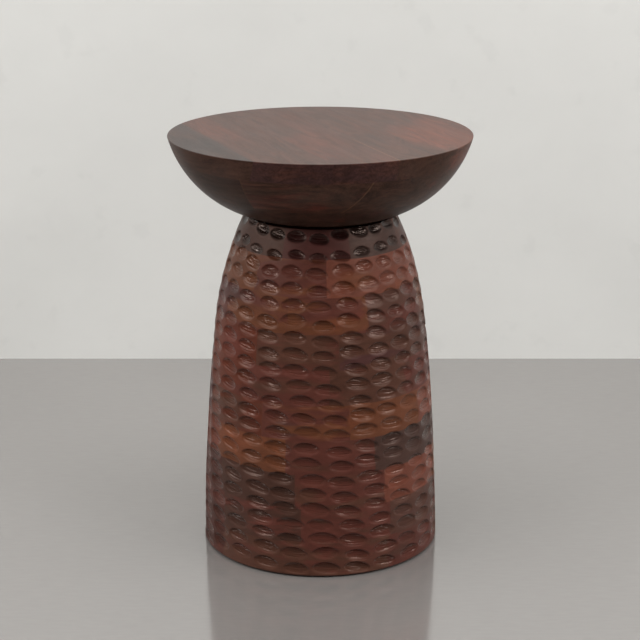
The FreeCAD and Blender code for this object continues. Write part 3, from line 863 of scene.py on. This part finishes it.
@dataclass
class Pedestal:
    """The carved pedestal: ten courses, each one closed shell round an eight-sided bore.

    Sizes are in millimetres. Blocks are cut anywhere in logs of the given length in metres.
    """

    outline: TurnedOutline = field(default_factory=TurnedOutline)
    hollows: Hollows = field(default_factory=Hollows)
    course_height: float = 46.3
    neck_height: float = 36.0
    first_bore: float = 126.0
    bore_step: float = 20 / 3
    blocks: int = 8
    turn_steps: int = 800
    row_height: float = 0.62
    inner_steps: int = 4
    sharp: float = 50.0
    streak_share: float = 0.42
    share_change: float = 0.07
    fleck_core: float = 1.3
    log_length: float = 4.0
    most_slope: float = 0.12

    def build(self) -> list[bpy.types.Object]:
        """Makes every course and puts it in place of its CAD node.

        Returns:
            The courses, from the foot up.
        """
        # The hollows darken where shade is painted under their upper edges and in the neck.
        finish = StainedWood("carved_wood", roughness=0.46, specular=0.27, painted_hollow_shade=0.33,
                             hollow_gloss=0.31, tool_marks=0.0012).make()
        made = []
        for number, course in enumerate(COURSES, 1):
            mesh = PieceMesh(f"carved_course_{number:02d}")
            points, values = self.shell(number, course)
            mesh.add(points, values, wrap=True)
            piece = mesh.object(finish, self.sharp)
            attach(piece, "root")
            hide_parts(f"pedestal_course_{number:02d}")
            LOG.info("%s: %d faces", piece.name, len(piece.data.polygons))
            made.append(piece)
        return made

    def shell(self, number: int, course: Course) -> tuple[np.ndarray, dict[str, np.ndarray]]:
        """Works out one course as a closed grid of turns by steps round its section.

        The section goes up the carved face, in along the top, down the bore and out along the bottom. The
        bore's radius is its half width over the cosine of the turn from the middle of each block.

        Args:
            number: The course, 1 at the foot.
            course: Its mitres and stains.

        Returns:
            The points in millimetres, and the values of the attributes.
        """
        low = self.outline.foot_height + self.course_height * (number - 1)
        high = low + (self.neck_height if number == len(COURSES) else self.course_height)
        turns = course.bearing + np.arange(self.turn_steps) * (360 / self.turn_steps)
        rows = np.linspace(low, high, int(round((high - low) / self.row_height)) + 1)
        block_turn = 360 / self.blocks
        block = np.floor((turns - course.bearing) / block_turn + ROUNDING).astype(int) % self.blocks
        middles = course.bearing + block_turn * (block + 0.5)
        half_width = self.first_bore - self.bore_step * (number - 1)
        bore = half_width / np.cos(np.radians(turns - middles))
        bearing, height = np.meshgrid(turns, rows, indexing="ij")
        smooth = self.outline.pedestal(height)
        carved = self.hollows.carve(bearing, height, smooth)
        face = smooth - carved.pop("depth")
        inward = np.linspace(0, 1, self.inner_steps + 1)[1:]
        top = face[:, -1:] + (bore[:, None] - face[:, -1:]) * inward
        bottom = bore[:, None] + (face[:, :1] - bore[:, None]) * inward[:-1]
        radius = np.hstack([face, top, bore[:, None], bottom])
        level = np.concatenate([rows, np.full(top.shape[1], high), [low], np.full(bottom.shape[1], low)])
        bearing, height = np.meshgrid(turns, level, indexing="ij")
        angle = np.radians(bearing)
        points = np.stack([radius * np.sin(angle), -radius * np.cos(angle), height], axis=-1)
        values = self.stains(course, number, bearing, height, block)
        values["lie"] = self.lies(number, radius, bearing, height, block, middles)
        values["glue"] = np.zeros(radius.shape)
        for key, value in carved.items():
            uncarved = np.zeros((len(turns), len(level) - len(rows)) + value.shape[2:])
            values[key] = np.concatenate([value, uncarved], axis=1)
        return points, values

    def stains(self, course: Course, number: int, bearing: np.ndarray, height: np.ndarray,
               block: np.ndarray) -> dict[str, np.ndarray]:
        """Each point's stain, its streaks' stain and their share, with the flecks mixed in.

        Args:
            course: The course's stains.
            number: The course, 1 at the foot.
            bearing: Degrees, turns by section steps.
            height: Millimetres, in the same shape.
            block: Each turn's block.

        Returns:
            The attributes "stain", "streak" and "share".
        """
        steps = bearing.shape[1]
        stain, streak = (np.array([one.colour for one in kind])[block][:, None].repeat(steps, axis=1)
                         for kind in (course.stains, course.streaks))
        turned = (bearing + 180) % 360 - 180
        for fleck in FLECKS:
            spot = soft_spot(turned - fleck.bearing, height - fleck.height, fleck.half_turn,
                             fleck.half_height, self.fleck_core)
            near = (spot * fleck.strength)[..., None]
            stain = stain * (1 - near) + np.array(fleck.stain.colour) * near
        random = np.random.default_rng(SEED + number)
        share = random.uniform(-self.share_change, self.share_change, self.blocks)[block] + self.streak_share
        return {"stain": stain, "streak": streak, "share": np.repeat(share[:, None], steps, axis=1)}

    def lies(self, number: int, radius: np.ndarray, bearing: np.ndarray, height: np.ndarray,
             block: np.ndarray, middles: np.ndarray) -> np.ndarray:
        """Each point's place in its own block: along the block, through it, and up.

        The place is turned to the block's middle and moved by a random amount, so that no two blocks show
        the same grain, and rises slightly along the block as sawn grain does.

        Args:
            number: The course, 1 at the foot.
            radius: Millimetres from the axis.
            bearing: Degrees, in the same shape.
            height: Millimetres, in the same shape.
            block: Each turn's block.
            middles: The bearing of the middle of each turn's block.

        Returns:
            The places in metres.
        """
        random = np.random.default_rng(LIE_SEED + number)
        moved = random.uniform(0, self.log_length, (self.blocks, 3))[block][:, None]
        slope = random.uniform(-self.most_slope, self.most_slope, self.blocks)[block][:, None]
        turn = np.radians(bearing - middles[:, None])
        along = radius * np.sin(turn)
        return np.stack([along, radius * np.cos(turn), height + slope * along], axis=-1) * MM + moved


@dataclass(frozen=True)
class Patch:
    """A soft patch of a board's streaks: an ellipse round x and y in plan, turned with the board."""

    x: float
    y: float
    half_across: float
    half_along: float
    strength: float


@dataclass(frozen=True)
class Board:
    """One board of the dished top, between two joints, with the glue lines that show at its edges.

    Its joints lie "near" and "far" millimetres across from the axis. Its ends are at -1, 0 or 1, which are
    the rim, the middle and the rim again. Glue lines have strengths from 0 to 1, and stop behind
    "glue_back" and below "glue_above". Its side can have a darker stain of its own, as painted shade
    against the top face, which is painted paler.
    """

    node: str
    near: float
    far: float
    stain: Stain
    streak: Stain
    share: float = 0.40
    near_glue: float = 0.0
    far_glue: float = 0.0
    ends: tuple[int, int] = (-1, 1)
    end_glue: float = 0.0
    glue_back: float = 400.0
    glue_above: float = 0.0
    # A darker stain for the side faces, as painted shade against the paler painted top face.
    shaded_side_stain: Stain | None = None
    patches: tuple[Patch, ...] = ()


@dataclass(frozen=True)
class Layer:
    """One layer of parallel boards, whose distances across are measured towards its bearing."""

    slot: str
    bearing: float
    bottom: float
    top: float
    boards: tuple[Board, ...]


LAYERS = (
    Layer("deck_wood", 112.5, 533.0, 560.0, (
        # The deck's sides take darker stains than its top, as painted shade.
        Board("deck_board_1", -RIM, -145, Stain.SLATE_DECK, Stain.DECK_BROWN, 0.34,
              shaded_side_stain=Stain.BOWL_BROWN),
        Board("deck_board_2", -145, -61, Stain.DECK_BROWN, Stain.DECK_ROSE, 0.36,
              shaded_side_stain=Stain.PURPLE_DECK, patches=(Patch(-140, 20, 26, 120, 0.25),)),
        Board("deck_board_3", -61, 23, Stain.DECK_BROWN, Stain.DECK_ROSE, 0.42, far_glue=0.9,
              glue_back=-30, glue_above=558.5, shaded_side_stain=Stain.PURPLE_DECK,
              patches=(Patch(-20, -110, 40, 90, 0.18),)),
        Board("deck_board_4", 23, 81, Stain.DECK_BROWN, Stain.DECK_ROSE, 0.36,
              shaded_side_stain=Stain.BOWL_BROWN),
        Board("deck_board_5", 81, RIM, Stain.DECK_BROWN, Stain.DECK_RED, 0.34,
              shaded_side_stain=Stain.BOWL_BROWN, patches=(Patch(165, 0, 70, 110, 0.32),)),
    )),
    Layer("bowl_wood", -31.6, 489.0, 533.0, (
        Board("middle_board_1", -RIM, -132, Stain.BOWL_BROWN, Stain.UMBER),
        Board("middle_board_2", -132, -49, Stain.BOWL_RED, Stain.BOWL_BROWN),
        Board("middle_board_3", -49, 34, Stain.BOWL_BROWN, Stain.BOWL_RED),
        Board("middle_board_4", 34, 117, Stain.BOWL_BROWN, Stain.UMBER, far_glue=0.12),
        Board("middle_board_5_left", 117, RIM, Stain.UMBER, Stain.BOWL_BROWN, ends=(-1, 0)),
        Board("middle_board_5_right", 117, RIM, Stain.BOWL_BROWN, Stain.BOWL_RED, near_glue=0.22,
              ends=(0, 1), end_glue=0.2),
    )),
    Layer("bowl_wood", 112.5, 454.7, 489.0, (
        Board("lower_board_1", -RIM, -55, Stain.UMBER, Stain.BOWL_BROWN),
        Board("lower_board_2", -55, 55, Stain.UMBER, Stain.BOWL_RED, 0.36),
        Board("lower_board_3", 55, RIM, Stain.UMBER, Stain.BOWL_BROWN),
    )),
)


def hairline_steps(count: int, hair: float) -> np.ndarray:
    """Even steps from 0 to 1, with two closer ones at each end where a glue line shows."""
    even = np.linspace(2 * hair, 1 - 2 * hair, count)
    return np.concatenate([[0, hair], even, [1 - hair, 1]])


@dataclass
class DishedTop:
    """The dished top: three crossed layers of boards, each board a closed block cut by the turned outline.

    Sizes are in millimetres. Boards are cut anywhere in logs of the given length in metres.
    """

    outline: TurnedOutline = field(default_factory=TurnedOutline)
    across_steps: int = 26
    along_steps: int = 64
    level_height: float = 1.6
    rim_turns: tuple[float, ...] = (0, 22.5, 45, 67.5, 90)
    rim_clear: float = 0.2
    hair: float = 0.45
    glue_fade: float = 30.0
    # How much paler the deck's top face is painted, as painted light.
    painted_top_light: float = 1.3
    patch_core: float = 1.4
    log_length: float = 4.0

    def build(self) -> list[bpy.types.Object]:
        """Makes every board and puts it in place of its CAD node.

        Returns:
            The boards, from the deck down.
        """
        finishes = {
            "deck_wood": StainedWood("deck_wood", roughness=0.44, specular=0.14, polish=0.42,
                                     figure=(5.0, 22.0, 70.0), streak_edge=0.17, grain=(14.0, 420.0, 420.0),
                                     grain_depth=1.25, rings=(3.0, 90.0, 210.0), ring_depth=1.36).make(),
            "bowl_wood": StainedWood("bowl_wood", roughness=0.40, specular=0.14, figure=(6.0, 30.0, 56.0),
                                     streak_edge=0.13, grain_depth=1.5, rings=(3.0, 90.0, 210.0),
                                     ring_depth=1.84).make(),
        }
        made = []
        for layer in LAYERS:
            for board in layer.boards:
                piece = self.block(layer, board).object(finishes[layer.slot])
                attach(piece, "root")
                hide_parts(board.node)
                LOG.info("%s: %d faces", piece.name, len(piece.data.polygons))
                made.append(piece)
        return made

    def levels(self, layer: Layer) -> np.ndarray:
        """The heights at which a layer's boards are worked out, closer together at the joints and the rim.

        Args:
            layer: The layer.

        Returns:
            The heights in millimetres, from its bottom up.
        """
        even = np.linspace(layer.bottom + 2 * self.hair, layer.top - 2 * self.hair,
                           int((layer.top - layer.bottom) / self.level_height))
        top = np.array([layer.top - self.hair, layer.top])
        if layer.top == self.outline.top_height:
            top = layer.top - self.outline.rim_round * (1 - np.sin(np.radians(self.rim_turns)))
            even = even[even < top[0] - self.rim_clear]
        return np.concatenate([[layer.bottom, layer.bottom + self.hair], even, top])

    def block(self, layer: Layer, board: Board) -> PieceMesh:
        """Works out one board as a box bent to the outline.

        At each height the board reaches across from its near joint to its far one, or to the rim, in even
        turns: the distance across is the outline's radius times the sine of the turn, and the board's half
        length there is the radius times its cosine.

        Args:
            layer: The layer that it lies in.
            board: The board.

        Returns:
            The mesh of its six faces.
        """
        levels = self.levels(layer)
        radii = np.array([self.outline.dish(level) for level in levels])
        width = min(board.far, radii[-1]) - max(board.near, -radii[-1])
        steps = hairline_steps(self.across_steps, self.hair / width)
        length = board.ends[0] + (board.ends[1] - board.ends[0]) * hairline_steps(
            self.along_steps, self.hair / (2 * radii[-1]))
        low, high = np.arcsin(np.clip(np.array([[board.near], [board.far]]) / radii, -1, 1))
        turn = low + (high - low) * steps[:, None]
        along = (radii * np.cos(turn))[:, None, :] * length[None, :, None]
        across = np.broadcast_to((radii * np.sin(turn))[:, None, :], along.shape)
        up = np.broadcast_to(levels, along.shape)
        bearing = math.radians(layer.bearing)
        x = across * math.sin(bearing) + along * math.cos(bearing)
        y = -across * math.cos(bearing) + along * math.sin(bearing)
        points = np.stack([x, y, up], axis=-1)
        values = self.values(board, np.stack([along, across, up], axis=-1), y)
        values["share"] = self.shares(board, x, y, bearing)
        mesh = PieceMesh(f"fine_{board.node}")
        for face, turned in ((np.s_[:, :, -1], False), (np.s_[:, :, 0], True), (np.s_[-1], False),
                             (np.s_[0], True), (np.s_[:, -1], True), (np.s_[:, 0], False)):
            grids = {key: value[face].swapaxes(0, 1) if turned else value[face]
                     for key, value in {"place": points, **values}.items()}
            mesh.add(grids.pop("place"), grids)
        return mesh

    def values(self, board: Board, place: np.ndarray, y: np.ndarray) -> dict[str, np.ndarray]:
        """Each point's stains, place in the board, glue line and polish.

        A glue line lies at the edge and one hair in from it, or two hairs at an end, and stops behind the
        board's glue_back and below its glue_above. Only the deck's upper face takes the polish, and its
        stains are painted paler there as painted light; a board's side can have a darker stain of its own,
        as painted shade.

        Args:
            board: The board.
            place: Millimetres along the board, across it and up.
            y: Millimetres behind the table's axis.

        Returns:
            The attributes "stain", "streak", "lie", "glue" and the top face's mask, which takes the polish.
        """
        height = place[..., 2]
        random = np.random.default_rng(sum(ord(letter) for letter in board.node))
        moved = random.uniform(0, self.log_length, 3)
        glue = np.zeros(y.shape)
        glue[:2] = board.near_glue
        glue[-2:] = board.far_glue
        if board.end_glue:
            glue[:, :3] = board.end_glue
        glue = glue * np.clip((board.glue_back - y) / self.glue_fade, 0, 1)
        glue = glue * np.clip(height - board.glue_above, 0, 1)
        # The upper face's mask: it takes the polish, and there the stains are painted paler as painted
        # light, while the sides keep their darker stain as painted shade.
        polished_and_lit_top = np.clip((height - self.outline.top_height) / self.outline.rim_round + 1, 0, 1)
        painted_top_lift = (1 + (self.painted_top_light - 1) * polished_and_lit_top)[..., None]
        side = np.array((board.shaded_side_stain or board.stain).colour)
        stain = side + (np.array(board.stain.colour) - side) * polished_and_lit_top[..., None]
        return {"stain": painted_top_lift * stain, "streak": painted_top_lift * board.streak.colour, "lie": place * MM + moved,
                "glue": glue, "polished_and_lit_top": polished_and_lit_top}

    def shares(self, board: Board, x: np.ndarray, y: np.ndarray, bearing: float) -> np.ndarray:
        """How much of its streaks' stain shows at each point: the board's own share, more in its patches.

        Args:
            board: The board.
            x: Millimetres to the right of the axis.
            y: Millimetres behind it.
            bearing: The way that the board's width runs, in radians.

        Returns:
            The attribute "share".
        """
        share = np.full(x.shape, board.share)
        for patch in board.patches:
            across = (x - patch.x) * math.sin(bearing) - (y - patch.y) * math.cos(bearing)
            along = (x - patch.x) * math.cos(bearing) + (y - patch.y) * math.sin(bearing)
            share = share + patch.strength * soft_spot(across, along, patch.half_across, patch.half_along,
                                                       self.patch_core)
        return share


@dataclass
class HiddenFittings:
    """The CAD nodes that stay as they are: the core, the screws and the pads."""

    def dress(self) -> None:
        """Gives each node its finish."""
        finishes = {
            "neck_core": RawWood("raw_wood"),
            "top_fixing_screws": PlatedSteel("plated_steel"),
            "felt_pads": Felt("dark_felt"),
        }
        for name, finish in finishes.items():
            material = finish.make()
            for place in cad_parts[name].material_slots:
                place.material = material
            LOG.info("%s: %s", name, material.name)


@dataclass(frozen=True)
class Lamp:
    """A soft lamp: its bearing in degrees, its place and its sides in metres, and its power in watts."""

    name: str
    bearing: float
    distance: float
    height: float
    sides: tuple[float, float]
    power: float


LAMPS = (
    Lamp("left_lamp", -73, 2.3, 1.6, (2.5, 0.12), 32),
    Lamp("right_lamp", 66, 2.3, 1.6, (2.3, 0.12), 32),
    Lamp("top_lamp", 0, 0.7, 3.2, (2.0, 2.0), 52),
)


@dataclass
class Studio:
    """The floor, the wall, the lamps and the camera.

    Lengths are in metres, apart from the sensor's width in millimetres, and the camera's tilt is in
    radians. The focal length and the photograph's middle are in its own pixels.
    """

    wall_distance: float = 0.779
    wall_height: float = 3.0
    reach: float = 6.0
    aim_height: float = 0.3
    air: Colour = linear(232, 232, 230)
    air_light: float = 0.36
    camera_distance: float = 2.37809
    camera_height: float = 1.01516
    camera_tilt: float = 0.2904
    focal_pixels: float = 1842.7
    sensor: float = 36.0
    centre_right: float = 0.3
    centre_down: float = 0.5

    def build(self) -> None:
        """Sets the stage, the lamps, the world and the camera."""
        reach, wall, top = self.reach, self.wall_distance, self.wall_height
        self.sheet("floor", ((-reach, -reach, 0), (reach, -reach, 0), (reach, reach, 0), (-reach, reach, 0)),
                   Screed("screed").make())
        self.sheet("wall", ((-reach, wall, 0), (reach, wall, 0), (reach, wall, top), (-reach, wall, top)),
                   Plaster("plaster").make())
        for lamp in LAMPS:
            self.hang(lamp)
        self.world()
        self.camera()

    def sheet(self, name: str, corners: tuple[tuple[float, float, float], ...],
              material: bpy.types.Material) -> None:
        """Makes one flat sheet of the stage.

        Args:
            name: The sheet's name.
            corners: Its corners, which run anticlockwise as seen from its front.
            material: Its finish.
        """
        mesh = bpy.data.meshes.new(name)
        mesh.from_pydata(corners, [], [(0, 1, 2, 3)])
        mesh.materials.append(material)
        made = bpy.data.objects.new(name, mesh)
        bpy.context.scene.collection.objects.link(made)

    def hang(self, lamp: Lamp) -> None:
        """Hangs one lamp and aims it at the table.

        Args:
            lamp: The lamp's place, sides and power.
        """
        light = bpy.data.lights.new(lamp.name, "AREA")
        light.shape = "RECTANGLE"
        light.size, light.size_y = lamp.sides
        light.energy = lamp.power
        made = bpy.data.objects.new(lamp.name, light)
        turn = math.radians(lamp.bearing)
        made.location = (lamp.distance * math.sin(turn), -lamp.distance * math.cos(turn), lamp.height)
        made.rotation_euler = (math.atan2(lamp.distance, lamp.height - self.aim_height), 0, turn)
        bpy.context.scene.collection.objects.link(made)

    def world(self) -> None:
        """Surrounds everything with an even off-white."""
        world = bpy.data.worlds.new("studio")
        world.use_nodes = True
        background = world.node_tree.nodes["Background"]
        background.inputs["Color"].default_value = self.air
        background.inputs["Strength"].default_value = self.air_light
        bpy.context.scene.world = world

    def camera(self) -> None:
        """Sets the camera where the photograph was taken from."""
        data = bpy.data.cameras.new("camera")
        data.sensor_width = self.sensor
        data.lens = self.focal_pixels / PHOTO_SIDE * self.sensor
        data.shift_x = -self.centre_right / PHOTO_SIDE
        data.shift_y = self.centre_down / PHOTO_SIDE
        made = bpy.data.objects.new("camera", data)
        made.location = (0, -self.camera_distance, self.camera_height)
        made.rotation_euler = (math.pi / 2 - self.camera_tilt, 0, 0)
        bpy.context.scene.collection.objects.link(made)
        bpy.context.scene.camera = made


def main() -> None:
    """Builds the table and its studio."""
    logging.basicConfig(level=logging.INFO, format="%(message)s")
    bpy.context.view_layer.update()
    bpy.context.scene.view_settings.view_transform = "Standard"
    Pedestal().build()
    DishedTop().build()
    HiddenFittings().dress()
    Studio().build()


if __name__ == "__main__":
    main()
